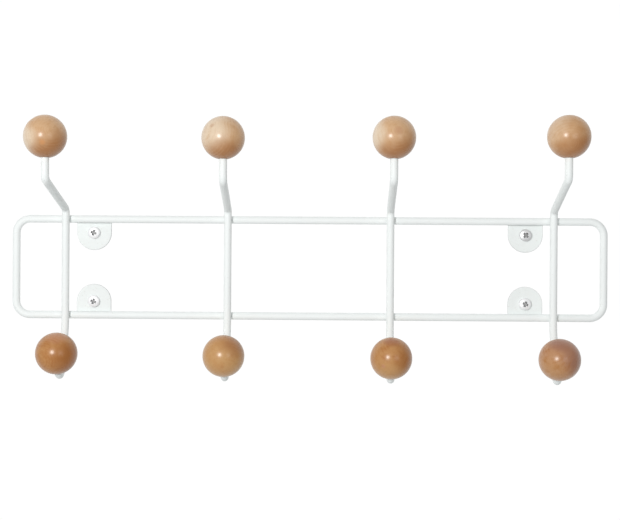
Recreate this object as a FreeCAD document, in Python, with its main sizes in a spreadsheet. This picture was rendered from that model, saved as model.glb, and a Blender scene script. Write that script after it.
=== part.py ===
import FreeCAD, Part
import os
import Sketcher

# A wall-mounted coat rack: a loop of steel wire with four welded tabs that are screwed to the
# wall, and four bent hook wires welded across the front of the loop. Each hook wire carries a
# turned wooden ball on both of its ends.
#
# X runs to the right along the wall, Y runs into the wall and Z runs up. The origin lies in the
# wall's plane, at the centre of the four wall screws, which is the centre of the wire loop too.

SIDES = {"left": -1, "right": 1}
RAILS = {"upper": 1, "lower": -1}
TOUCHING = 1e-6

# The driving dimensions, in millimetres, or in degrees where they say so.
DIMENSIONS = [
    ("wire_diameter", 6.5, "steel wire of the loop and of the hooks"),
    ("weld_setdown", 0.4, "depth that one piece sinks into the other at a weld"),
    ("loop_width", 508, "wire loop from centreline to centreline, along X"),
    ("loop_height", 83, "wire loop from centreline to centreline, along Z"),
    ("loop_corner_radius", 12, "centreline radius of the loop's four corners"),
    ("tab_thickness", 2, "sheet steel of the mounting tabs"),
    ("tab_width", 30, "mounting tab, which has a full round at its free end"),
    ("tab_tail", 2.5, "length of tab past its rail's centreline"),
    ("tab_edge_round", 0.8, "rounding of a tab's front edge"),
    ("screw_hole_diameter", 5.5, "clearance hole in each tab"),
    ("screw_spacing", 374, "between the left and the right screws"),
    ("screw_offset", 11.75, "from a rail's centreline to the screws of its tabs"),
    ("head_diameter", 10.5, "pan head of a wall screw"),
    ("head_height", 3.2, "pan head of a wall screw"),
    ("head_crown_radius", 14, "domed top of the pan head"),
    ("head_rim_round", 0.9, "rounding between the crown and the side of the head"),
    ("neck_diameter", 3.6, "plain neck of a screw inside the tab's hole"),
    ("thread_diameter", 4.8, "over the crests of the thread"),
    ("screw_length", 38, "from under the head to the point"),
    ("screw_point_length", 6, "tapered point"),
    ("recess_span", 5.5, "cross recess from end to end"),
    ("recess_slot", 1.5, "width of one arm of the cross recess"),
    ("recess_depth", 2.2, "depth of the cross recess"),
    ("recess_turn", 20, "degrees that the cross recess is turned"),
    ("hook_spacing", 140, "between neighbouring hook wires"),
    ("arm_bend_radius", 5.5, "centreline radius of the two bends of an upper arm"),
    ("arm_foot_height", 8.4, "from the upper rail's centreline to the foot of the arm"),
    ("arm_reach", 74, "from the upright forward to the upper ball's centre"),
    ("arm_rise", 22, "height that the sloping arm gains"),
    ("upper_ball_height", 64.7, "from the upper rail's centreline to the upper ball's centre"),
    ("ball_diameter", 35, "turned wooden ball"),
    ("ball_flat_radius", 4.5, "small flat round the mouth of a ball's bore"),
    ("ball_seat", 15, "depth of wire inside a ball, measured from the full sphere"),
    ("bore_play", 0.05, "radial room for glue between the wire and the bore"),
    ("lower_ball_reach", 34, "from the upright forward to the lower ball's centre"),
    ("lower_ball_drop", 32, "from the lower rail's centreline to the lower ball's centre"),
    ("foot_lean_drop", 10, "from the lower rail's centreline to where the foot leans forward"),
    ("foot_lean_radius", 30, "centreline radius of the gentle bend at the start of the lean"),
    ("tip_corner_back", 13.4, "from the lower ball's centre back to the corner of the J bend"),
    ("tip_corner_drop", 28.8, "from the lower ball's centre down to the corner of the J bend"),
    ("tip_bend_radius", 6.5, "centreline radius of the J bend"),
]

# The hook wires are bent one at a time, so each differs a little from the nominal one: the turn
# of its arm about the upright, and what its arm's far end and its foot have gained in height.
HOOK_DIFFERENCES = {
    1: (-0.9, -0.7, 1.3),
    2: (1.8, -1.1, 0.2),
    3: (-0.2, -0.2, -0.7),
    4: (-0.4, 1.1, -0.9),
}
for hook, (turn, arm_lift, foot_lift) in HOOK_DIFFERENCES.items():
    DIMENSIONS += [
        (f"arm_turn_{hook}", turn, f"degrees that the arm of hook {hook} is turned"),
        (f"arm_lift_{hook}", arm_lift, f"height that the arm of hook {hook} has gained"),
        (f"foot_lift_{hook}", foot_lift, f"height that the foot of hook {hook} has gained"),
    ]

WIRE_RADIUS = "Size.wire_diameter / 2"
BALL_RADIUS = "Size.ball_diameter / 2"
BORE_RADIUS = f"({WIRE_RADIUS} + Size.bore_play)"
RAIL_HEIGHT = "Size.loop_height / 2"
RAIL_DEPTH = f"(Size.tab_thickness + {WIRE_RADIUS} - Size.weld_setdown)"
RAIL_TO_HOOK = "(Size.wire_diameter - Size.weld_setdown)"
HOOK_DEPTH = f"({RAIL_DEPTH} + {RAIL_TO_HOOK})"
SEAT_TO_CENTRE = f"({BALL_RADIUS} - Size.ball_seat)"


def make_sheet(doc):
    """Write the driving dimensions into a spreadsheet, one aliased cell each."""
    sheet = doc.addObject("Spreadsheet::Sheet", "Size")
    for row, (alias, value, meaning) in enumerate(DIMENSIONS, start=1):
        sheet.set(f"A{row}", alias)
        sheet.set(f"B{row}", str(value))
        sheet.set(f"C{row}", meaning)
        sheet.setAlias(f"B{row}", alias)
    doc.recompute()


def make_body(doc, name):
    """One piece of the rack, which is written to a file of the same name."""
    body = doc.addObject("PartDesign::Body", name)
    body.Label = name
    return body


def bind(item, **expressions):
    """Bind properties to expressions; a double underscore in a name stands for a dot."""
    for name, expression in expressions.items():
        item.setExpression(name.replace("__", "."), expression)


def measure(sketch, expression):
    """The present value of an expression, in millimetres."""
    return float(sketch.evalExpression(expression))


def make_sketch(body, name, role):
    """A sketch on one of the body's own origin planes."""
    sketch = body.newObject("Sketcher::SketchObject", f"{body.Name}_{name}")
    plane = next(item for item in body.Origin.OriginFeatures if item.Role == role)
    sketch.AttachmentSupport = (plane, "")
    sketch.MapMode = "FlatFace"
    return sketch


def dimension(sketch, kind, references, expression):
    """Add a driving dimension that follows an expression."""
    value = measure(sketch, expression)
    index = sketch.addConstraint(Sketcher.Constraint(kind, *references, value))
    sketch.setExpression(f"Constraints[{index}]", expression)


def join(sketch, kind, *references):
    """Add a constraint without a size."""
    sketch.addConstraint(Sketcher.Constraint(kind, *references))


def place_point(sketch, geometry, vertex, across, up):
    """Dimension a vertex from the sketch's origin; a coordinate of None is zero."""
    if across is None:
        join(sketch, "PointOnObject", geometry, vertex, -2)
    else:
        dimension(sketch, "DistanceX", (-1, 1, geometry, vertex), across)
    if up is None:
        join(sketch, "PointOnObject", geometry, vertex, -1)
    else:
        dimension(sketch, "DistanceY", (-1, 1, geometry, vertex), up)


def point_at(sketch, across, up):
    """The vector of a pair of expressions, where None is zero."""
    return FreeCAD.Vector(measure(sketch, across or "0"), measure(sketch, up or "0"), 0)


def draw_circle(sketch, across, up, radius):
    """Draw a dimensioned circle."""
    normal = FreeCAD.Vector(0, 0, 1)
    circle = Part.Circle(point_at(sketch, across, up), normal, measure(sketch, radius))
    geometry = sketch.addGeometry(circle)
    place_point(sketch, geometry, 3, across, up)
    dimension(sketch, "Radius", (geometry,), radius)


def draw_lines(sketch, points):
    """Draw an open chain of straight lines through dimensioned points."""
    places = [point_at(sketch, *point) for point in points]
    lines = [sketch.addGeometry(Part.LineSegment(*pair)) for pair in zip(places, places[1:])]
    place_point(sketch, lines[0], 1, *points[0])
    for line, point in zip(lines, points[1:]):
        place_point(sketch, line, 2, *point)
    for line, after in zip(lines, lines[1:]):
        join(sketch, "Coincident", line, 2, after, 1)
    return lines


def draw_arc(sketch, centre, first, last):
    """Draw an arc about a centre, counterclockwise from its first point to its last."""
    middle = (first - centre) + (last - centre)
    if middle.Length < TOUCHING:
        middle = FreeCAD.Vector(first.y - last.y, last.x - first.x, 0) * -1
    middle = centre + middle.normalize() * (first - centre).Length
    return sketch.addGeometry(Part.Arc(first, middle, last))


def draw_wire(sketch, start, bends, end):
    """Draw a wire's centreline: straight runs with a tangent arc at each bend.

    start and end are (across, up) pairs of expressions. A bend is (across, up, radius), where
    the point is the corner at which the two runs would meet without the arc.
    """
    corners = [point_at(sketch, *bend[:2]) for bend in bends]
    stops = [point_at(sketch, *start), *corners, point_at(sketch, *end)]
    leaving, last_arc, last_mark = stops[0], None, None
    for before, corner, after, bend in zip(stops, corners, stops[2:], bends):
        back = (before - corner).normalize()
        ahead = (after - corner).normalize()
        inwards = (back + ahead).normalize()
        sine = inwards.cross(back).Length
        radius = measure(sketch, bend[2])
        trim = radius * inwards.dot(back) / sine
        arriving, departing = corner + back * trim, corner + ahead * trim
        middle = corner + inwards * (radius / sine - radius)
        run = sketch.addGeometry(Part.LineSegment(leaving, arriving))
        if ahead.cross(back).z > 0:
            arc = sketch.addGeometry(Part.Arc(arriving, middle, departing))
            entry, leave = 1, 2
        else:
            arc = sketch.addGeometry(Part.Arc(departing, middle, arriving))
            entry, leave = 2, 1
        mark = sketch.addGeometry(Part.Point(corner), True)
        place_point(sketch, mark, 1, *bend[:2])
        join(sketch, "PointOnObject", mark, 1, run)
        join(sketch, "Tangent", run, 2, arc, entry)
        dimension(sketch, "Radius", (arc,), bend[2])
        start_run(sketch, run, start, last_arc, last_mark)
        leaving, last_arc, last_mark = departing, (arc, leave), mark
    run = sketch.addGeometry(Part.LineSegment(leaving, stops[-1]))
    start_run(sketch, run, start, last_arc, last_mark)
    place_point(sketch, run, 2, *end)


def start_run(sketch, run, start, arc, mark):
    """Start a straight run at the wire's own start, or where the bend before it ends."""
    if arc is None:
        place_point(sketch, run, 1, *start)
    else:
        join(sketch, "Tangent", *arc, run, 1)
        join(sketch, "PointOnObject", mark, 1, run)


def sweep_wire(body, section, path, name):
    """Sweep the wire's round section along a centreline."""
    pipe = body.newObject("PartDesign::AdditivePipe", f"{body.Name}_{name}")
    pipe.Profile = section
    pipe.Spine = (path, [])


def cut_saddle(body, name, across, up):
    """Cut the seat that a crossing rail sinks into when it is welded."""
    circle = make_sketch(body, f"{name}_section", "YZ_Plane")
    draw_circle(circle, across, up, WIRE_RADIUS)
    saddle = body.newObject("PartDesign::Pocket", f"{body.Name}_{name}")
    saddle.Profile = circle
    saddle.SideType = "Symmetric"
    bind(saddle, Length="Size.tab_width * 2")


def round_edges(body, name, radius, is_wanted):
    """Round the edges of the body's last feature that pass a test."""
    base = body.Tip
    edges = [f"Edge{i}" for i, edge in enumerate(base.Shape.Edges, start=1) if is_wanted(edge)]
    fillet = body.newObject("PartDesign::Fillet", f"{body.Name}_{name}")
    fillet.Base = (base, edges)
    bind(fillet, Radius=radius)


def make_frame_loop(doc):
    """The closed loop of wire: two rails and two short ends, with rounded corners."""
    body = make_body(doc, "frame_loop")
    bind(body, Placement__Base__y=f"-{RAIL_DEPTH}")
    path = make_sketch(body, "centreline", "XZ_Plane")
    right, radius = "Size.loop_width / 2", "Size.loop_corner_radius"
    corners = [
        (right, RAIL_HEIGHT, radius),
        (right, f"-{RAIL_HEIGHT}", radius),
        (f"-{right}", f"-{RAIL_HEIGHT}", radius),
        (f"-{right}", RAIL_HEIGHT, radius),
    ]
    middle_of_rail = (None, RAIL_HEIGHT)
    draw_wire(path, middle_of_rail, corners, middle_of_rail)
    section = make_sketch(body, "section", "YZ_Plane")
    draw_circle(section, None, RAIL_HEIGHT, WIRE_RADIUS)
    sweep_wire(body, section, path, "wire")


def make_hook_wire(doc, number):
    """One bent hook wire: an arm at its top, a J at its foot and a saddle for each rail."""
    body = make_body(doc, f"hook_wire_{number}")
    bind(body, Placement__Base__x=hook_across(number), Placement__Base__y=f"-{HOOK_DEPTH}")
    section = make_sketch(body, "section", "XY_Plane")
    draw_circle(section, None, None, WIRE_RADIUS)

    arm = make_sketch(body, "arm_centreline", "YZ_Plane")
    upright = FreeCAD.Vector(0, 1, 0)
    arm.AttachmentOffset = FreeCAD.Placement(FreeCAD.Vector(), FreeCAD.Rotation(upright, 1))
    bind(arm, AttachmentOffset__Rotation__Angle=f"Size.arm_turn_{number}")
    arm_foot_up = f"{RAIL_HEIGHT} + Size.arm_foot_height"
    arm_top_up = f"{arm_foot_up} + Size.arm_rise + Size.arm_lift_{number}"
    arm_bends = [
        (None, arm_foot_up, "Size.arm_bend_radius"),
        ("-Size.arm_reach", arm_top_up, "Size.arm_bend_radius"),
    ]
    arm_end = ("-Size.arm_reach", f"{upper_ball_up(number)} - {SEAT_TO_CENTRE}")
    draw_wire(arm, (None, None), arm_bends, arm_end)
    sweep_wire(body, section, arm, "arm")

    foot = make_sketch(body, "foot_centreline", "YZ_Plane")
    tip_across = "-Size.lower_ball_reach + Size.tip_corner_back"
    tip_up = f"{lower_ball_up(number)} - Size.tip_corner_drop"
    foot_bends = [
        (None, f"-{RAIL_HEIGHT} - Size.foot_lean_drop", "Size.foot_lean_radius"),
        (tip_across, tip_up, "Size.tip_bend_radius"),
    ]
    share = f"{SEAT_TO_CENTRE} / hypot(Size.tip_corner_back; Size.tip_corner_drop)"
    foot_end = (
        f"-Size.lower_ball_reach + Size.tip_corner_back * {share}",
        f"{lower_ball_up(number)} - Size.tip_corner_drop * {share}",
    )
    draw_wire(foot, (None, None), foot_bends, foot_end)
    sweep_wire(body, section, foot, "foot")

    cut_saddle(body, "upper_saddle", RAIL_TO_HOOK, RAIL_HEIGHT)
    cut_saddle(body, "lower_saddle", RAIL_TO_HOOK, f"-{RAIL_HEIGHT}")


def hook_across(number):
    """Where a hook's upright stands along X."""
    return f"Size.hook_spacing * {number - (len(HOOK_DIFFERENCES) + 1) / 2}"


def upper_ball_up(number):
    """The height of a hook's upper ball above the origin."""
    return f"{RAIL_HEIGHT} + Size.upper_ball_height + Size.arm_lift_{number}"


def lower_ball_up(number):
    """The height of a hook's lower ball above the origin, which is negative."""
    return f"-{RAIL_HEIGHT} - Size.lower_ball_drop + Size.foot_lift_{number}"


def make_ball(doc, name):
    """A turned ball about its own centre, with a flat and a blind bore at its bottom."""
    body = make_body(doc, name)
    sphere = body.newObject("PartDesign::AdditiveSphere", f"{name}_sphere")
    bind(sphere, Radius=BALL_RADIUS, Angle1=f"-acos(Size.ball_flat_radius / ({BALL_RADIUS}))")
    bore = body.newObject("PartDesign::SubtractiveCylinder", f"{name}_bore")
    bind(bore, Radius=BORE_RADIUS, Height="Size.ball_seat")
    bind(bore, Placement__Base__z=f"-{BALL_RADIUS}")
    return body


def make_upper_ball(doc, number):
    """The ball on an arm, straight above the arm's end."""
    ball = make_ball(doc, f"upper_ball_{number}")
    turn = f"Size.arm_turn_{number}"
    bind(
        ball,
        Placement__Base__x=f"{hook_across(number)} + Size.arm_reach * sin({turn})",
        Placement__Base__y=f"-{HOOK_DEPTH} - Size.arm_reach * cos({turn})",
        Placement__Base__z=upper_ball_up(number),
    )


def make_lower_ball(doc, number):
    """The ball on a foot, tilted so that its bore takes the slanting end of the J."""
    ball = make_ball(doc, f"lower_ball_{number}")
    along_x = FreeCAD.Vector(1, 0, 0)
    ball.Placement = FreeCAD.Placement(FreeCAD.Vector(), FreeCAD.Rotation(along_x, 1))
    bind(
        ball,
        Placement__Base__x=hook_across(number),
        Placement__Base__y=f"-{HOOK_DEPTH} - Size.lower_ball_reach",
        Placement__Base__z=lower_ball_up(number),
        Placement__Rotation__Angle="atan2(Size.tip_corner_back; Size.tip_corner_drop)",
    )


def place_at_screw(body, side, rail, depth):
    """Put a body at one of the four places where a screw goes through a tab."""
    bind(
        body,
        Placement__Base__x=f"Size.screw_spacing / 2 * {SIDES[side]}",
        Placement__Base__y=depth,
        Placement__Base__z=f"({RAIL_HEIGHT} - Size.screw_offset) * {RAILS[rail]}",
    )


def make_tab(doc, side, rail):
    """A D-shaped tab about its screw hole, welded behind a rail by its straight edge."""
    body = make_body(doc, f"mounting_tab_{rail}_{side}")
    outline = make_sketch(body, "outline", "XZ_Plane")
    half, tail = "Size.tab_width / 2", "Size.screw_offset + Size.tab_tail"
    corners = [(half, None), (half, tail), (f"-{half}", tail), (f"-{half}", None)]
    lines = draw_lines(outline, corners)
    right, left = point_at(outline, *corners[0]), point_at(outline, *corners[-1])
    arc = draw_arc(outline, FreeCAD.Vector(), left, right)
    join(outline, "Coincident", lines[-1], 2, arc, 1)
    join(outline, "Coincident", arc, 2, lines[0], 1)
    join(outline, "PointOnObject", arc, 3, -1)
    draw_circle(outline, None, None, "Size.screw_hole_diameter / 2")
    pad = body.newObject("PartDesign::Pad", f"{body.Name}_sheet")
    pad.Profile = outline
    bind(pad, Length="Size.tab_thickness")
    doc.recompute()
    front = pad.Shape.BoundBox.YMin
    hole_size = measure(outline, "Size.screw_hole_diameter")
    round_edges(
        body,
        "edge_round",
        "Size.tab_edge_round",
        lambda edge: edge.BoundBox.YMax < front + TOUCHING
        and edge.BoundBox.DiagonalLength > hole_size * 2,
    )
    cut_saddle(body, "saddle", f"-{RAIL_DEPTH}", "Size.screw_offset")
    if rail == "lower":
        along_y = FreeCAD.Vector(0, 1, 0)
        body.Placement = FreeCAD.Placement(FreeCAD.Vector(), FreeCAD.Rotation(along_y, 180))
    place_at_screw(body, side, rail, "0")


def make_screw(doc, side, rail):
    """A pan-head wall screw with a cross recess, drawn point up from under its head."""
    body = make_body(doc, f"wall_screw_{rail}_{side}")
    profile = make_sketch(body, "profile", "XZ_Plane")
    head, neck, thread = (
        f"Size.{name}_diameter / 2" for name in ("head", "neck", "thread")
    )
    crown_up = "(Size.head_crown_radius - Size.head_height)"
    rim_up = f"{crown_up} - sqrt(Size.head_crown_radius ^ 2 - ({head}) ^ 2)"
    point_starts = "Size.screw_length - Size.screw_point_length"
    corners = [
        (head, rim_up),
        (head, None),
        (neck, None),
        (neck, "Size.tab_thickness"),
        (thread, "Size.tab_thickness"),
        (thread, point_starts),
        (None, "Size.screw_length"),
    ]
    lines = draw_lines(profile, corners)
    crown_centre, rim = point_at(profile, None, crown_up), point_at(profile, *corners[0])
    top, point = point_at(profile, None, "-Size.head_height"), point_at(profile, *corners[-1])
    crown = draw_arc(profile, crown_centre, top, rim)
    place_point(profile, crown, 3, None, crown_up)
    axis = profile.addGeometry(Part.LineSegment(point, top))
    join(profile, "Coincident", crown, 2, lines[0], 1)
    join(profile, "PointOnObject", crown, 1, -2)
    join(profile, "Coincident", lines[-1], 2, axis, 1)
    join(profile, "Coincident", axis, 2, crown, 1)
    turned = body.newObject("PartDesign::Revolution", f"{body.Name}_turned")
    turned.Profile = profile
    turned.ReferenceAxis = (profile, ["V_Axis"])
    doc.recompute()
    rim_place = FreeCAD.Vector(rim.x, 0, rim.y)
    round_edges(body, "rim_round", "Size.head_rim_round", lambda edge: touches(edge, rim_place))
    cut_cross_recess(body)
    along_x = FreeCAD.Vector(1, 0, 0)
    body.Placement = FreeCAD.Placement(FreeCAD.Vector(), FreeCAD.Rotation(along_x, -90))
    place_at_screw(body, side, rail, "-Size.tab_thickness")


def touches(edge, place):
    """Whether a closed round edge passes through a place."""
    return edge.isClosed() and edge.distToShape(Part.Vertex(place))[0] < TOUCHING


def cut_cross_recess(body):
    """Cut a slot into a screw's crown and repeat it at a right angle."""
    outline = make_sketch(body, "recess_outline", "XY_Plane")
    axis = FreeCAD.Vector(0, 0, 1)
    outline.AttachmentOffset = FreeCAD.Placement(FreeCAD.Vector(), FreeCAD.Rotation(axis, 1))
    bind(
        outline,
        AttachmentOffset__Base__z="-Size.head_height",
        AttachmentOffset__Rotation__Angle="Size.recess_turn",
    )
    right, top = "Size.recess_span / 2", "Size.recess_slot / 2"
    corners = [(right, top), (f"-{right}", top), (f"-{right}", f"-{top}"), (right, f"-{top}")]
    lines = draw_lines(outline, corners)
    last = outline.addGeometry(
        Part.LineSegment(point_at(outline, *corners[-1]), point_at(outline, *corners[0]))
    )
    join(outline, "Coincident", lines[-1], 2, last, 1)
    join(outline, "Coincident", last, 2, lines[0], 1)
    slot = body.newObject("PartDesign::Pocket", f"{body.Name}_recess_slot")
    slot.Profile = outline
    slot.Reversed = True
    bind(slot, Length="Size.recess_depth")
    cross = body.newObject("PartDesign::PolarPattern", f"{body.Name}_recess_cross")
    cross.Originals = [slot]
    cross.Axis = (outline, ["N_Axis"])
    cross.Angle = 90
    cross.Occurrences = 2
    body.Tip = cross


def check(doc, bodies):
    """Stop if a feature failed, a pocket cut nothing or a piece isn't one valid solid."""
    for item in doc.Objects:
        if "Invalid" in item.State or "Error" in item.State:
            raise RuntimeError(f"{item.Name} failed: {item.State}")
    for cut in doc.findObjects("PartDesign::Pocket"):
        if cut.Shape.Volume >= cut.BaseFeature.Shape.Volume:
            raise RuntimeError(f"{cut.Name} cuts nothing")
    for body in bodies:
        if body.Shape.isNull() or not body.Shape.isValid() or len(body.Shape.Solids) != 1:
            raise RuntimeError(f"{body.Name} isn't one valid solid")


doc = FreeCAD.newDocument("wall_coat_rack")
make_sheet(doc)
make_frame_loop(doc)
for number in HOOK_DIFFERENCES:
    make_hook_wire(doc, number)
    make_upper_ball(doc, number)
    make_lower_ball(doc, number)
for rail in RAILS:
    for side in SIDES:
        make_tab(doc, side, rail)
        make_screw(doc, side, rail)
doc.recompute()

bodies = doc.findObjects("PartDesign::Body")
check(doc, bodies)
os.makedirs("parts", exist_ok=True)
for body in bodies:
    body.Shape.exportStep(f"parts/{body.Label}.step")
    print(f"{body.Label}: {body.Shape.Volume:.1f} mm3")
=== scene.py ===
from math import asin, atan2, cos, pi, radians, sin, tau

import bmesh
import bpy
from mathutils import Matrix, Vector, noise


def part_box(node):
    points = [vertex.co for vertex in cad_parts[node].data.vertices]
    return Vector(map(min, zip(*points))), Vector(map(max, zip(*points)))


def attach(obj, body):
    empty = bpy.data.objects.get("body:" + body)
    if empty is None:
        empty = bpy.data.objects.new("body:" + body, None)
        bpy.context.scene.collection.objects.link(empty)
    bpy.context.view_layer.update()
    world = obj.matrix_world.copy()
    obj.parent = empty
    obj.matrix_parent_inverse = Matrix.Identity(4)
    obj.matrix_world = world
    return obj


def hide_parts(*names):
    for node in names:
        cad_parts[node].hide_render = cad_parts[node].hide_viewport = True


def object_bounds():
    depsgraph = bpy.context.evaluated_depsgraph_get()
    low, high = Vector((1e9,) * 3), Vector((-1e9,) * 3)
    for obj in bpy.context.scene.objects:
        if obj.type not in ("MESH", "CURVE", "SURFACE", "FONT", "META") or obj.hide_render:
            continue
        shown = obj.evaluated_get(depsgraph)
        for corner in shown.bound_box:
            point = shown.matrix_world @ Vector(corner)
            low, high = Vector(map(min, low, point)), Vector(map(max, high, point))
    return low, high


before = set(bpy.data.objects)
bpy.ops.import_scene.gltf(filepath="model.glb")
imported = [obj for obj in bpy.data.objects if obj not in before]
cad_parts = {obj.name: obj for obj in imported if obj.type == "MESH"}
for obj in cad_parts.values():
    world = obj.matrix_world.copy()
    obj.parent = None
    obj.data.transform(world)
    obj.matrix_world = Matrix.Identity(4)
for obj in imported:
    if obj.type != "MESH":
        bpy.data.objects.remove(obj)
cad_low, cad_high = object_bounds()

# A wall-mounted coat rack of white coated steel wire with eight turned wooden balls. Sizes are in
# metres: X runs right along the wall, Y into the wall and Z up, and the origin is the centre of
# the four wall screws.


# ---------------------------------------------------------------------------------------------
# The camera stands straight in front of the rack, a little right of its centre and turned a
# little to the left, on a long lens, so that the forward ends of the wires spread outwards.
# ---------------------------------------------------------------------------------------------

camera_data = bpy.data.cameras.new("front_camera")
camera_data.sensor_width = 36
camera_data.lens = 74.2
camera_data.shift_x = -0.0174
camera = bpy.data.objects.new("front_camera", camera_data)
camera.location = (0.0273, -1.1102, 0.00925)
camera.rotation_euler = (radians(89.9), radians(-0.37), radians(0.89))
bpy.context.scene.collection.objects.link(camera)
bpy.context.scene.camera = camera


# ---------------------------------------------------------------------------------------------
# The loop is one length of 6.5 mm steel wire, bent round four corners and butt welded shut. Like
# all the steel of the rack it is degreased and coated with white polyester powder, which melts
# in the oven into a satin skin with a slight orange peel.
# ---------------------------------------------------------------------------------------------

WIRE_RADIUS = 0.00325


class Finish:
    """One socket of a material's nodes: arithmetic on it adds Math nodes, node() any other."""

    def __init__(self, tree, socket=None):
        self.tree, self.socket = tree, socket

    def node(self, kind, settings=(), inputs=(), output=0):
        """Add a node: its settings are set first, then the values or links of its sockets."""
        made = self.tree.nodes.new(kind)
        for name, value in dict(settings).items():
            setattr(made, name, value)
        for name, value in dict(inputs).items():
            if isinstance(value, Finish):
                self.tree.links.new(value.socket, made.inputs[name])
            else:
                made.inputs[name].default_value = value
        return Finish(self.tree, made.outputs[output] if made.outputs else None)

    def maths(self, operation, *values):
        """Add the Math node of an operation on sockets and numbers."""
        return self.node("ShaderNodeMath", {"operation": operation}, dict(enumerate(values)))

    def __add__(self, other):
        return self.maths("ADD", self, other)

    __radd__ = __add__

    def __sub__(self, other):
        return self.maths("SUBTRACT", self, other)

    def __rsub__(self, other):
        return self.maths("SUBTRACT", other, self)

    def __mul__(self, other):
        return self.maths("MULTIPLY", self, other)

    __rmul__ = __mul__

    def __pow__(self, other):
        return self.maths("POWER", self, other)

    def __rpow__(self, other):
        return self.maths("POWER", other, self)


def mixed(share, first, second):
    """A colour between two colours, each a socket or a red, green and blue."""
    first, second = (end if isinstance(end, Finish) else (*end, 1) for end in (first, second))
    settings = {"data_type": "RGBA", "clamp_factor": True}
    return share.node("ShaderNodeMix", settings, {0: share, 6: first, 7: second}, output=2)


def dimmed(shade, share):
    """A darker tone of a shade."""
    return tuple(part * share for part in shade)


def axes(place):
    """The X, Y and Z of a place."""
    split = place.node("ShaderNodeSeparateXYZ", inputs={"Vector": place})
    return [Finish(place.tree, split.socket.node.outputs[axis]) for axis in "XYZ"]


def rising(value, start, end):
    """Soft step: 0 where a value hasn't passed its start, and 1 where it has passed its end."""
    limits = {"Value": value, "From Min": start, "From Max": end}
    return value.node("ShaderNodeMapRange", {"interpolation_type": "SMOOTHSTEP"}, limits)


def speckle(place, size, detail=2, rough=0.5):
    """Soft noise whose patches are about a size across."""
    inputs = {"Vector": place, "Scale": 1 / size, "Detail": detail, "Roughness": rough}
    return place.node("ShaderNodeTexNoise", {"noise_dimensions": "3D"}, inputs)


def new_material(name, **constants):
    """A material, its Principled shader with these constants, and its Object coordinates."""
    material = bpy.data.materials.new(name)
    material.use_nodes = True
    tree = material.node_tree
    shader = tree.nodes["Principled BSDF"]
    for socket, value in constants.items():
        shader.inputs[socket.replace("_", " ")].default_value = value
    place = Finish(tree).node("ShaderNodeTexCoord", output="Object")
    return material, shader, place


def paint(shader, **finishes):
    """Link what varies over the surface to the shader's sockets."""
    for socket, finish in finishes.items():
        finish.tree.links.new(finish.socket, shader.inputs[socket.replace("_", " ")])


def relief(height, depth, normal=None):
    """A surface normal from a height between 0 and 1 that stands for a depth in metres."""
    inputs = {"Height": height, "Distance": depth, "Strength": 1}
    if normal:
        inputs["Normal"] = normal
    return height.node("ShaderNodeBump", inputs=inputs)


DUST = (0.62, 0.6, 0.55)
DUST_LEVEL = 0.73
THIN_COAT_AND_EDGE_SHADE = (0.4, 0.4, 0.4)
GREY_EDGE_START = 0.00003
GREY_EDGE_END = 0.0005


def powder_coat(name, shade, gloss=1, faces=()):
    """White powder coat: orange peel, slow waves in its gloss and a few specks of dust.

    The faces of a sheet are its front and back along Y: between them, on its edges, the coat is
    thin and grey, and the grey is also painted shade that darkens the edges.
    """
    material, shader, place = new_material(
        name, IOR=1.45, Specular_IOR_Level=0.35 * gloss, Coat_Roughness=0.35
    )
    waves = speckle(place, 0.02, detail=3)
    peel = speckle(place, 0.0014, detail=1)
    grit = speckle(place, 0.0005, detail=2)
    dust = (speckle(place, 0.0013, detail=0) - DUST_LEVEL) * 14
    colour = mixed(waves, shade, dimmed(shade, 0.965))
    colour = mixed(dust * 0.16, colour, DUST)
    if faces:
        front, back = faces
        depth = axes(place)[1]
        behind_front = rising(depth, front + GREY_EDGE_START, front + GREY_EDGE_END)
        before_back = rising(depth, back - GREY_EDGE_START, back - GREY_EDGE_END)
        # The grey round the edges is partly a thin coat and partly painted shade.
        colour = mixed(behind_front * before_back * 0.5, colour, THIN_COAT_AND_EDGE_SHADE)
    paint(
        shader,
        Base_Color=colour,
        Roughness=0.56 + waves * 0.12 + grit * 0.08,
        Coat_Weight=(0.02 + waves * 0.12) * gloss,
        Normal=relief(waves, 0.0004, relief(peel * 0.8 + grit * 0.2, 0.00005)),
    )
    return material


def coat_node(node, material):
    """Give a CAD node a material in place of its own."""
    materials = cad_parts[node].data.materials
    for index in range(len(materials)):
        materials[index] = material


WIRE_WHITE = (0.865, 0.895, 0.888)

white_coat = powder_coat("white_powder_coat", WIRE_WHITE)
coat_node("frame_loop", white_coat)


# ---------------------------------------------------------------------------------------------
# The four hook wires are cut from the same wire and bent in a jig: an arm at the top that runs
# forward and up, and at the foot a J that passes behind its ball and turns up into it. Each is
# welded across the front of both rails before the coating.
# ---------------------------------------------------------------------------------------------

HOOKS = (1, 2, 3, 4)

for hook in HOOKS:
    coat_node(f"hook_wire_{hook}", white_coat)


# ---------------------------------------------------------------------------------------------
# The eight crossings are resistance welded: a rail and a hook wire sink into each other a little
# and squeeze out a thin, uneven collar of steel, which is coated with the wires.
# ---------------------------------------------------------------------------------------------

RAIL_AXIS_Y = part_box("frame_loop")[0].y + WIRE_RADIUS
RAIL_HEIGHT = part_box("frame_loop")[1].z - WIRE_RADIUS
COLLAR_RADIUS = 0.0027
COLLAR_THICKNESS = 0.0012
COLLAR_UNEVENNESS = 0.25
WELD_SINK = 0.0002

# A face with this many corners is a whole flat, and no part of a curve.
FLAT_CORNERS = 12


def finish_mesh(shape, name, material, crease=40):
    """Turn a bmesh into a piece of the rack, smooth but for flats and edges of crease degrees."""
    bmesh.ops.recalc_face_normals(shape, faces=shape.faces)
    for face in shape.faces:
        face.smooth = len(face.verts) < FLAT_CORNERS
    for edge in shape.edges:
        edge.smooth = edge.calc_face_angle(0) < radians(crease)
    mesh = bpy.data.meshes.new(name)
    shape.to_mesh(mesh)
    shape.free()
    mesh.materials.append(material)
    piece = bpy.data.objects.new(name, mesh)
    bpy.context.scene.collection.objects.link(piece)
    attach(piece, "root")
    return piece


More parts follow.
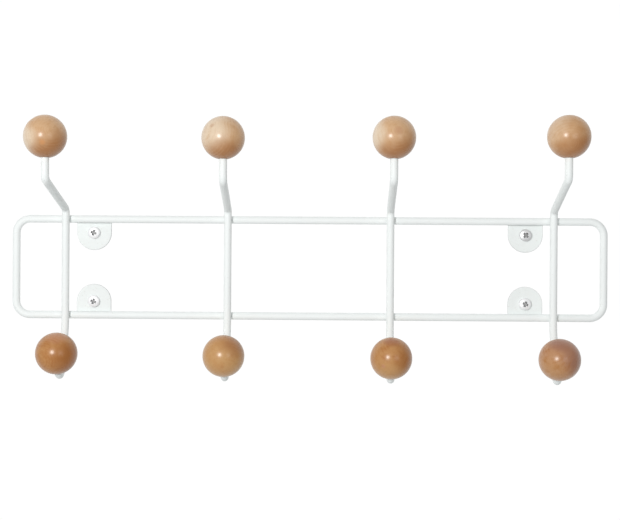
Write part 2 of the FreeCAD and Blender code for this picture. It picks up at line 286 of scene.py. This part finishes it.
for hook in HOOKS:
    across = sum(corner.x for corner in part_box(f"lower_ball_{hook}")) / 2
    for rail, up in (("upper", RAIL_HEIGHT), ("lower", -RAIL_HEIGHT)):
        seat = Vector((across, RAIL_AXIS_Y - WIRE_RADIUS + WELD_SINK, up))
        variety = Vector((hook * 7, up * 90, 0))
        collar = bmesh.new()
        bmesh.ops.create_icosphere(collar, subdivisions=4, radius=1)
        for vert in collar.verts:
            lump = COLLAR_UNEVENNESS * noise.noise(vert.co * 2 + variety)
            radius = COLLAR_RADIUS * (1 + lump)
            vert.co = seat + vert.co * Vector((radius, COLLAR_THICKNESS, radius))
        finish_mesh(collar, f"weld_{rail}_{hook}", white_coat)


# ---------------------------------------------------------------------------------------------
# Four D-shaped tabs are punched from 2 mm sheet, tumbled so that their edges are round, welded
# behind the rails by their straight edge and coated with the rest.
# ---------------------------------------------------------------------------------------------

RAILS = ("upper", "lower")
SIDES = ("left", "right")
EDGE_ROUND = 0.0007
MERGE = 1e-6
# The tabs have the wires' coat, but their white is a little darker: painted shade.
SHADED_TAB_WHITE = (0.83, 0.862, 0.852)

# Nearer to its screw than this a tab has only the edges of its hole, and beyond it the outline.
HOLE_REACH = 0.01

tab_faces = [corner.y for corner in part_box("mounting_tab_upper_left")]
tab_coat = powder_coat("white_powder_coat_tabs", SHADED_TAB_WHITE, gloss=0.2, faces=tab_faces)


def cad_copy(node):
    """The merged shape of a CAD node, with its flat faces whole."""
    shape = bmesh.new()
    shape.from_mesh(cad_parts[node].data)
    bmesh.ops.remove_doubles(shape, verts=shape.verts, dist=MERGE)
    bmesh.ops.dissolve_limit(
        shape, angle_limit=radians(0.5), verts=shape.verts, edges=shape.edges
    )
    return shape


for rail in RAILS:
    for side in SIDES:
        node = f"mounting_tab_{rail}_{side}"
        tab = cad_copy(node)
        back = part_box(node)[1].y
        screw_low, screw_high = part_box(f"wall_screw_{rail}_{side}")
        hole = (screw_low + screw_high) / 2
        outline = []
        for edge in tab.edges:
            ends = [vert.co for vert in edge.verts]
            at_back = all(abs(end.y - back) < MERGE for end in ends)
            outer = all((end - hole).xz.length > HOLE_REACH for end in ends)
            if at_back and outer:
                outline.append(edge)
        bmesh.ops.bevel(
            tab,
            geom=outline,
            offset=EDGE_ROUND,
            segments=4,
            profile=0.5,
            material=-1,
            affect="EDGES",
        )
        piece = finish_mesh(tab, f"punched_tab_{rail}_{side}", tab_coat, 50)
        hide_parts(node)


# ---------------------------------------------------------------------------------------------
# A zinc-plated steel screw with a domed pan head and a cross recess goes through each tab into
# the wall. Its head is forged, and its thread is rolled from close under the head to near the tip.
# ---------------------------------------------------------------------------------------------

HEAD_RADIUS = 0.00525
HEAD_HEIGHT = 0.0032
HEAD_STEPS = 96
CROWN_RADIUS = 0.014
CROWN_STEPS = 10
RIM_ROUND = 0.0009
RIM_STEPS = 6
NECK_RADIUS = 0.0018
NECK_TAPER = 0.0002
CORE_RADIUS = 0.00165
POINT_LENGTH = 0.006


def arc_end(arc):
    """The vertex at the end of an arc that spin has drawn."""
    return next(item for item in arc["geom_last"] if isinstance(item, bmesh.types.BMVert))


def draw_on(shape, last, points):
    """Carry a profile on from its last vertex, straight from point to point."""
    for point in points:
        last = bmesh.ops.extrude_vert_indiv(shape, verts=[last])["verts"][0]
        last.co = point


def forge_head(neck, length):
    """Spin a screw's head, neck and bare core about Y, from under its head at the origin."""
    shape = bmesh.new()
    rim_inside = (HEAD_RADIUS - RIM_ROUND) / (1 - RIM_ROUND / CROWN_RADIUS)
    crown_angle = asin(rim_inside / CROWN_RADIUS)
    pole = shape.verts.new((0, -HEAD_HEIGHT, 0))
    crown = bmesh.ops.spin(
        shape,
        geom=[pole],
        cent=(0, CROWN_RADIUS - HEAD_HEIGHT, 0),
        axis=(0, 0, 1),
        angle=crown_angle,
        steps=CROWN_STEPS,
        use_merge=False,
    )
    crown_end = arc_end(crown)
    inward = Vector((-sin(crown_angle), cos(crown_angle), 0))
    rim = bmesh.ops.spin(
        shape,
        geom=[crown_end],
        cent=crown_end.co + RIM_ROUND * inward,
        axis=(0, 0, 1),
        angle=pi / 2 - crown_angle,
        steps=RIM_STEPS,
        use_merge=False,
    )
    profile = [
        (HEAD_RADIUS, 0, 0),
        (NECK_RADIUS, 0, 0),
        (NECK_RADIUS, neck, 0),
        (CORE_RADIUS, neck + NECK_TAPER, 0),
        (CORE_RADIUS, length - POINT_LENGTH, 0),
        (0, length, 0),
    ]
    draw_on(shape, arc_end(rim), profile)
    bmesh.ops.spin(
        shape,
        geom=shape.verts[:] + shape.edges[:],
        cent=(0, 0, 0),
        axis=(0, 1, 0),
        angle=tau,
        steps=HEAD_STEPS,
        use_merge=True,
    )
    bmesh.ops.remove_doubles(shape, verts=shape.verts, dist=MERGE)
    bmesh.ops.recalc_face_normals(shape, faces=shape.faces)
    return shape


RECESS_SPAN = 0.0063
RECESS_SLOT = 0.0023
RECESS_DEPTH = 0.0022
RECESS_ROUND = 0.00012
PUNCH_TAPER = (0.6, 1, 0.75)


def as_object(shape, name):
    """Turn a bmesh into an object for a Boolean modifier."""
    mesh = bpy.data.meshes.new(name)
    shape.to_mesh(mesh)
    shape.free()
    item = bpy.data.objects.new(name, mesh)
    bpy.context.scene.collection.objects.link(item)
    return item


def cut_recess(shape, turn):
    """Punch two crossed, tapered slots into a head, turned by some degrees."""
    blank = as_object(shape, "screw_blank")
    punches = []
    for arm in (0, 90):
        bar = bmesh.new()
        bmesh.ops.create_cube(bar, size=1)
        bmesh.ops.scale(bar, vec=(RECESS_SPAN, 2 * RECESS_DEPTH, RECESS_SLOT), verts=bar.verts)
        tip = [vert for vert in bar.verts if vert.co.y > 0]
        bmesh.ops.scale(bar, vec=PUNCH_TAPER, verts=tip)
        bmesh.ops.bevel(
            bar,
            geom=bar.edges[:],
            offset=RECESS_ROUND,
            segments=2,
            profile=0.5,
            material=-1,
            affect="EDGES",
        )
        lift = Matrix.Translation((0, -HEAD_HEIGHT, 0))
        aim = Matrix.Rotation(radians(turn + arm), 4, "Y")
        bmesh.ops.transform(bar, matrix=lift @ aim, verts=bar.verts)
        punch = as_object(bar, "recess_punch")
        cut = blank.modifiers.new("recess", "BOOLEAN")
        cut.operation = "DIFFERENCE"
        cut.solver = "EXACT"
        cut.object = punch
        punches.append(punch)
    bpy.context.view_layer.update()
    worked_out = bpy.context.evaluated_depsgraph_get()
    cut_head = bpy.data.meshes.new_from_object(blank.evaluated_get(worked_out))
    forged = bmesh.new()
    forged.from_mesh(cut_head)
    bpy.data.meshes.remove(cut_head)
    for item in [blank] + punches:
        bpy.data.meshes.remove(item.data)
    return forged


# The thread starts under the head and stops short of the tip. Its ridge has a narrow crest and a
# wide foot, given as half widths, swells up over its first turns and shrinks along the point.
THREAD_START = 0.0025
THREAD_STOP = 0.0012
THREAD_PITCH = 0.0018
THREAD_STEPS = 30
CREST_RADIUS = 0.0024
CREST_HALF = 0.00008
FOOT_HALF = 0.00042
FOOT_SINK = 0.0002
SWELL_START = 0.0005
SWELL_TURNS = 1.5
POINT_CREST = 0.15


def roll_thread(shape, length):
    """Wind a thread round a screw's core: a ridge that follows the core's taper to the point."""
    foot = CORE_RADIUS - FOOT_SINK
    ridge = [
        (foot, -FOOT_HALF),
        (CREST_RADIUS, -CREST_HALF),
        (CREST_RADIUS, CREST_HALF),
        (foot, FOOT_HALF),
    ]
    corners = [shape.verts.new((across, THREAD_START + along, 0)) for across, along in ridge]
    section = shape.faces.new(corners)
    before = set(shape.verts) - set(corners)
    turns = (length - THREAD_START - THREAD_STOP) / THREAD_PITCH
    steps = round(turns * THREAD_STEPS)
    bmesh.ops.spin(
        shape,
        geom=[section] + section.edges[:] + corners,
        cent=(0, 0, 0),
        axis=(0, 1, 0),
        dvec=(0, THREAD_PITCH / THREAD_STEPS, 0),
        angle=-tau * steps / THREAD_STEPS,
        steps=steps,
        use_merge=False,
    )
    for vert in set(shape.verts) - before:
        radius = vert.co.xz.length
        wound = vert.co.y - THREAD_START + SWELL_START
        swell = min(1, wound / (THREAD_PITCH * SWELL_TURNS))
        taper = min(1, (length - vert.co.y) / POINT_LENGTH)
        height = (radius - foot) * swell * min(1, taper + POINT_CREST)
        reach = min(foot * taper + height, CREST_RADIUS * taper)
        vert.co.xz = vert.co.xz * (reach / radius)


PAINTED_PIT_SHADE = (0.06, 0.06, 0.064)
PAINTED_BOTTOM_SHADE = (0.5, 0.5, 0.5)

# The recess is painted with shade between two depths below the crown, within a share of the
# head's radius, and this painted shade lightens again between two heights above its bottom.
LIP_START = 0.0004
LIP_END = 0.0006
RECESS_REACH = 0.62
PALE_START = 0.0004
PALE_END = 0.0001


def zinc_plate(name, centre, shade, metal):
    """Dull bright zinc: cloudy, finely scratched, with painted shade in the recess, less at its
    bottom.
    """
    material, shader, place = new_material(name, Metallic=metal, IOR=1.5)
    settings = {"vector_type": "TEXTURE"}
    head = place.node("ShaderNodeMapping", settings, {"Vector": place, "Location": centre})
    across, along, up = axes(head)
    radius = (across * across + up * up) ** 0.5
    blotches = speckle(place, 0.003, detail=3)
    scratches = speckle(place, 0.0006, detail=4, rough=0.7)
    sunk = rising(along, LIP_START - HEAD_HEIGHT, LIP_END - HEAD_HEIGHT)
    inside = radius.maths("LESS_THAN", radius, RECESS_REACH * HEAD_RADIUS)
    recess = sunk * inside * along.maths("LESS_THAN", along, 0)
    bottom = RECESS_DEPTH - HEAD_HEIGHT
    pale = rising(along, bottom - PALE_START, bottom - PALE_END)
    colour = mixed(blotches, shade, dimmed(shade, 0.85))
    # Painted shade: the recess is painted near black, less dark at its bottom.
    colour = mixed(recess * 0.94, colour, mixed(pale * 0.9, PAINTED_PIT_SHADE, PAINTED_BOTTOM_SHADE))
    paint(
        shader,
        Base_Color=colour,
        Roughness=0.42 + blotches * 0.16 + recess * 0.3,
        Normal=relief(scratches, 0.00002),
    )
    return material


# How far each screw's recess is turned, in degrees, and how pale and how metallic its zinc is
# painted. All four are the same zinc: the upper right's darker tone is painted shade.
SCREWS = {
    "upper_left": (18, 0.95, 0.4),
    "upper_right": (42, 0.8, 0.7),
    "lower_left": (20, 0.95, 0.4),
    "lower_right": (22, 0.95, 0.35),
}
for rail in RAILS:
    for side in SIDES:
        node = f"wall_screw_{rail}_{side}"
        low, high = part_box(node)
        tab_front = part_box(f"mounting_tab_{rail}_{side}")[0].y
        length = high.y - tab_front
        head_place = Vector(((low.x + high.x) / 2, tab_front, (low.z + high.z) / 2))
        turn, shade, metal = SCREWS[f"{rail}_{side}"]
        screw = cut_recess(forge_head(-tab_front, length), turn)
        roll_thread(screw, length)
        bmesh.ops.translate(screw, vec=head_place, verts=screw.verts)
        tone = (shade, shade, shade * 1.01)
        zinc = zinc_plate(f"zinc_plate_{rail}_{side}", head_place, tone, metal)
        piece = finish_mesh(screw, f"threaded_screw_{rail}_{side}", zinc, 35)
        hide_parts(node)


# ---------------------------------------------------------------------------------------------
# The eight balls are turned from beech, sanded and dipped in clear lacquer. Each has a small
# flat and a blind bore at its bottom, and is glued onto the bare end of a wire.
# ---------------------------------------------------------------------------------------------

BALL_RADIUS = 0.0175
FLAT_RADIUS = 0.0045
BORE_RADIUS = 0.0033
MOUTH_ROUND = 0.0003
BORE_DEPTH = 0.015
BALL_STEPS = 96


def turn_ball(centre, tilt):
    """Turn a ball about Z from its half profile, then put it where its wire ends."""
    shape = bmesh.new()
    pole = shape.verts.new((0, 0, BALL_RADIUS))
    half_round = bmesh.ops.spin(
        shape,
        geom=[pole],
        cent=(0, 0, 0),
        axis=(0, 1, 0),
        angle=pi - asin(FLAT_RADIUS / BALL_RADIUS),
        steps=BALL_STEPS // 2,
        use_merge=False,
    )
    flat_edge = arc_end(half_round)
    flat = flat_edge.co.z
    bore_end = BORE_DEPTH - BALL_RADIUS
    bore = [
        (BORE_RADIUS + MOUTH_ROUND, 0, flat),
        (BORE_RADIUS, 0, flat + MOUTH_ROUND),
        (BORE_RADIUS, 0, bore_end),
        (0, 0, bore_end),
    ]
    draw_on(shape, flat_edge, bore)
    bmesh.ops.spin(
        shape,
        geom=shape.verts[:] + shape.edges[:],
        cent=(0, 0, 0),
        axis=(0, 0, 1),
        angle=tau,
        steps=BALL_STEPS,
        use_merge=True,
    )
    bmesh.ops.remove_doubles(shape, verts=shape.verts, dist=MERGE)
    place = Matrix.Translation(centre) @ Matrix.Rotation(tilt, 4, "X")
    bmesh.ops.transform(shape, matrix=place, verts=shape.verts)
    return shape


RING_WIDTH = 0.0022
RING_WANDER = 0.003
FIBRE_STRETCH = 12
PORE_LEVEL = 0.62


def lacquered_wood(name, centre, figure):
    """Beech under lacquer: rings about the heart, streaks and pores along it, patches, and painted
    sheen.
    """
    material, shader, place = new_material(
        name, IOR=1.45, Specular_IOR_Level=0.2, Coat_Roughness=0.265, Coat_IOR=1.5
    )
    settings = {"vector_type": "TEXTURE"}
    heart = centre + Vector(figure["heart"]) * BALL_RADIUS
    turn = Vector(figure["grain"]).to_track_quat("Z", "Y").to_euler()
    ways = {"Vector": place, "Location": heart, "Rotation": turn}
    grain = place.node("ShaderNodeMapping", settings, ways)
    wander = speckle(grain, 0.012, detail=2)
    x, y, _ = axes(grain)
    distance = (x * x + y * y) ** 0.5 + (wander - 0.5) * RING_WANDER
    wave = distance.maths("SINE", distance * (tau / figure.get("ring", RING_WIDTH)))
    late = (wave * 0.5 + 0.5) ** 3 * (speckle(grain, 0.008, detail=1) * 3 - 1)
    ways = {"Vector": grain, "Scale": (1, 1, FIBRE_STRETCH)}
    fibres = grain.node("ShaderNodeMapping", settings, ways)
    streaks = speckle(fibres, 0.0007, detail=3, rough=0.6)
    pores = (speckle(fibres, 0.0003, detail=1) - PORE_LEVEL) * 8
    clouds = speckle(grain, 0.012, detail=2)
    mottle = speckle(grain, 0.0045, detail=2)
    share = clouds * 0.9 + mottle * 1.6 + late * 0.35 + streaks * 0.7 - 1.42
    colour = mixed(share + figure.get("depth", 0), figure["light"], figure["dark"])
    ways = {"Vector": place, "Location": centre, "Scale": (BALL_RADIUS,) * 3}
    surface = place.node("ShaderNodeMapping", settings, ways)
    # Some patches make the upper balls darker towards the bottom and three lower balls darker on
    # the right.
    for towards, width, strength, shade in figure["patches"]:
        aim = {0: surface, 1: Vector(towards).normalized()}
        facing = surface.node("ShaderNodeVectorMath", {"operation": "DOT_PRODUCT"}, aim, "Value")
        rim = cos(radians(width))
        mask = rising(facing + (clouds - 0.5) * (0.5 * (1 - rim)), rim, 1)
        colour = mixed(mask * strength * (1.15 - late * 0.3), colour, shade)
    colour = mixed(pores * 0.3, colour, dimmed(figure["dark"], 0.45))
    paint(
        shader,
        Base_Color=colour,
        Roughness=0.42 + streaks * 0.15,
        Coat_Weight=0.64 + clouds * 0.2,
        Normal=relief(streaks * 0.6 + late * 0.4, 0.000012),
    )
    return material


# Painted sheen: a pale tone laid on the lit left side of the upper balls.
PAINTED_SHEEN = (0.80, 0.69, 0.54)
HONEY = (0.62, 0.39, 0.215)
AMBER = (0.53, 0.29, 0.13)
RUSSET = (0.395, 0.175, 0.062)
TAN = (0.485, 0.235, 0.08)
CHESTNUT = (0.34, 0.12, 0.026)
SIENNA = (0.38, 0.14, 0.028)
STRAW = (0.535, 0.3, 0.12)
ROSE = (0.475, 0.24, 0.115)
PINK = (0.50, 0.235, 0.13)
MAUVE = (0.34, 0.16, 0.10)
UMBER = (0.33, 0.11, 0.045)
GINGER = (0.62, 0.28, 0.1)
HAZEL = (0.48, 0.24, 0.13)

# Each ball has its own way of the grain, the tree's heart in ball radii from its centre, light
# and dark wood, and patches: where one faces, its half width in degrees, strength and colour.
# The pale patch on the left of each upper ball is painted sheen.
FIGURES = {
    "upper_ball_1": {
        "grain": (0.1, -1, 0.15), "heart": (0.35, 0, 0.1), "light": HONEY, "dark": AMBER,
        "patches": [
            ((-0.85, -0.65, -0.22), 52, 0.62, PAINTED_SHEEN),
            ((0.55, -0.2, -1), 95, 1.0, RUSSET),
            ((0.1, -1, -0.36), 11, 0.6, GINGER),
        ],
    },
    "upper_ball_2": {
        "grain": (0.5, -0.4, 1), "heart": (1.6, 0, 0.3), "light": HONEY, "dark": AMBER,
        "patches": [
            ((-0.6, -0.7, 0.25), 80, 0.55, PAINTED_SHEEN),
            ((0.2, -0.2, -1), 88, 0.92, RUSSET),
            ((-0.45, -0.75, 0.5), 9, 0.32, RUSSET),
        ],
    },
    "upper_ball_3": {
        "grain": (0.16, -1, 0.24), "heart": (0, 0, 0), "light": HONEY, "dark": AMBER,
        "ring": 0.0024,
        "patches": [
            ((-1, -0.4, 0.1), 55, 0.62, PAINTED_SHEEN),
            ((0.35, -0.2, -1), 95, 1.0, RUSSET),
            ((0.16, -1, 0.24), 17, 0.45, HAZEL),
        ],
    },
    "upper_ball_4": {
        "grain": (0.1, -1, -0.2), "heart": (-0.1, 0, -0.2), "light": HONEY, "dark": AMBER,
        "depth": 0.45,
        "patches": [
            ((-0.9, -0.5, 0.5), 60, 0.25, PAINTED_SHEEN),
            ((0.5, -0.3, -1), 100, 1.0, RUSSET),
        ],
    },
    "lower_ball_1": {
        "grain": (0.3, -0.8, 0.2), "heart": (-0.9, 0, -0.6), "light": TAN, "dark": SIENNA,
        "depth": 0.2,
        "patches": [
            ((0.15, -0.5, 0.95), 38, 0.6, PINK),
            ((0.9, -0.5, -0.3), 75, 0.8, CHESTNUT),
        ],
    },
    "lower_ball_2": {
        "grain": (0.6, -0.5, 1), "heart": (0.5, 0, 1.2), "light": STRAW, "dark": TAN,
        "patches": [
            ((0.8, -0.5, 0.9), 65, 0.85, RUSSET),
            ((-0.3, -0.5, 0.9), 40, 0.5, TAN),
        ],
    },
    "lower_ball_3": {
        "grain": (0.05, -0.45, 0.9), "heart": (0, -0.3, 0), "light": TAN, "dark": SIENNA,
        "patches": [
            ((0.0, -0.5, 0.9), 30, 0.6, UMBER),
            ((-0.2, -0.7, -0.8), 60, 0.6, STRAW),
            ((1, -0.4, 0), 75, 0.5, CHESTNUT),
            ((-0.4, -0.85, -0.3), 8, 0.6, PINK),
        ],
    },
    "lower_ball_4": {
        "grain": (-0.2, -0.5, 0.8), "heart": (-0.2, -0.2, 0), "light": ROSE, "dark": SIENNA,
        "patches": [
            ((-0.1, -0.55, 0.9), 40, 0.85, MAUVE),
            ((1, -0.5, 0.3), 80, 0.8, MAUVE),
            ((-0.6, -0.7, -0.5), 55, 0.3, STRAW),
        ],
    },
}

# From a lower ball's centre back and down to the corner of the J that its wire ends in.
J_CORNER_BACK = 0.0134
J_CORNER_DROP = 0.0288

bore_lean = atan2(J_CORNER_BACK, J_CORNER_DROP)
for hook in HOOKS:
    for row, tilt in (("upper", 0), ("lower", bore_lean)):
        name = f"{row}_ball_{hook}"
        low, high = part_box(name)
        across = (low.x + high.x) / 2
        centre = Vector((across, low.y + BALL_RADIUS, high.z - BALL_RADIUS))
        wood = lacquered_wood(f"lacquered_beech_{row}_{hook}", centre, FIGURES[name])
        ball = finish_mesh(turn_ball(centre, tilt), f"turned_{name}", wood)
        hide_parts(name)


# ---------------------------------------------------------------------------------------------
# The studio: a dim white surround that is brighter at the upper left, from below and behind the
# rack, a small key lamp and a larger soft one near the camera, and a pale floor below the rack.
# ---------------------------------------------------------------------------------------------

SURROUND = (0.985, 1, 1, 1)
SURROUND_GLOW = 0.35
WALL_GLOW = 1.05
BACKDROP = (1, 1, 1, 1)
BACKDROP_GLOW = 1.02

world = bpy.data.worlds.new("white_studio")
bpy.context.scene.world = world
world.use_nodes = True
world.node_tree.nodes.clear()
start = Finish(world.node_tree)
across, depth, up = axes(start.node("ShaderNodeTexCoord", output="Generated"))
below = rising(up, -0.3, -1)
room = SURROUND_GLOW - across * 0.11 + up * 0.08 + below * 0.32
behind = rising(depth, -0.05, 0.35)
glow = room + (WALL_GLOW - room) * behind
surround = start.node("ShaderNodeBackground", inputs={"Color": SURROUND, "Strength": glow})
lit = {"Color": BACKDROP, "Strength": BACKDROP_GLOW}
backdrop = start.node("ShaderNodeBackground", inputs=lit)
seen = start.node("ShaderNodeLightPath", output="Is Camera Ray")
sky = start.node("ShaderNodeMixShader", inputs={0: seen, 1: surround, 2: backdrop})
start.node("ShaderNodeOutputWorld", inputs={"Surface": sky})


def hang_lamp(name, place, size, power, glint=1):
    """A square lamp that faces the rack."""
    lamp_data = bpy.data.lights.new(name, "AREA")
    lamp_data.size = size
    lamp_data.energy = power
    lamp_data.specular_factor = glint
    lamp = bpy.data.objects.new(name, lamp_data)
    lamp.location = place
    lamp.rotation_euler = Vector(place).to_track_quat("Z", "Y").to_euler()
    bpy.context.scene.collection.objects.link(lamp)


hang_lamp("key_lamp", place=(-0.475, -1.44, 0.2), size=0.3, power=13.8)
hang_lamp("fill_lamp", place=(0.7, -1.3, 0.1), size=0.6, power=2.4, glint=0)

FLOOR_RADIUS = 3.7
FLOOR_DROP = 0.9
PAPER = (0.93, 0.93, 0.93)
DULL_PAPER = (0.91, 0.91, 0.91)

floor_shape = bmesh.new()
bmesh.ops.create_circle(floor_shape, cap_ends=True, segments=128, radius=FLOOR_RADIUS)
floor_place = (0, 0, cad_low.z - FLOOR_DROP)
bmesh.ops.translate(floor_shape, vec=floor_place, verts=floor_shape.verts)
floor_mesh = bpy.data.meshes.new("studio_floor")
floor_shape.to_mesh(floor_mesh)
floor_shape.free()
paper, paper_shader, paper_place = new_material("floor_paper", Roughness=0.9)
paint(paper_shader, Base_Color=mixed(speckle(paper_place, 0.4), PAPER, DULL_PAPER))
floor_mesh.materials.append(paper)
floor = bpy.data.objects.new("studio_floor", floor_mesh)
floor.visible_diffuse = False
floor.visible_glossy = False
bpy.context.scene.collection.objects.link(floor)

bpy.context.scene.view_settings.view_transform = "Standard"
